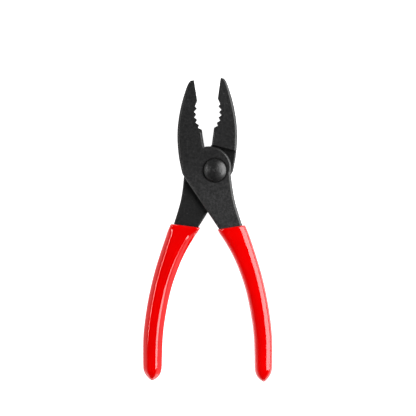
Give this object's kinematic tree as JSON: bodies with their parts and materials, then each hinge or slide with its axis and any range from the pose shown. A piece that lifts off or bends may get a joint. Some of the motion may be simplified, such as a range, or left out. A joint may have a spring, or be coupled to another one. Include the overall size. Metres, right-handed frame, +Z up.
{
  "type": "slip joint pliers",
  "caption": "Slip joint pliers with two crossing forged halves on a domed bolt, a toothed hollow and fine nose, and red dipped grips.",
  "frame": {"origin": "where the bolt's axis meets the plane of the nut's underside, on which the pliers lie", "axes": "+Z up the bolt's axis to its domed head, +Y towards the jaws along the tool's length, +X to the right as the picture shows it"},
  "size_m": [0.0859, 0.2011, 0.0176],
  "materials": {
    "forged_steel": "black oxide, satin",
    "turned_steel": "black oxide over turned rings",
    "plain_steel": "plain rolled steel, oiled",
    "red_vinyl": "glossy dipped vinyl"
  },
  "bodies": {
    "back": {"back_half": "forged_steel", "back_grip": "red_vinyl"},
    "slider": {"pivot_washer": "plain_steel"},
    "front": {"front_half": "forged_steel", "pivot_bolt": "turned_steel", "pivot_nut": "turned_steel", "front_grip": "red_vinyl"}
  },
  "joints": [
    {"name": "slip", "type": "hinge", "parent": "back", "child": "slider", "pos_m": [-0.01428, -0.0395, 0.00923], "axis": [0, 0, 1], "range_deg": [0, 10.38]},
    {"name": "jaw_opening", "type": "hinge", "parent": "slider", "child": "front", "pos_m": [0, 0, 0.00923], "axis": [0, 0, 1], "range_deg": [-16.4, 22]}
  ]
}
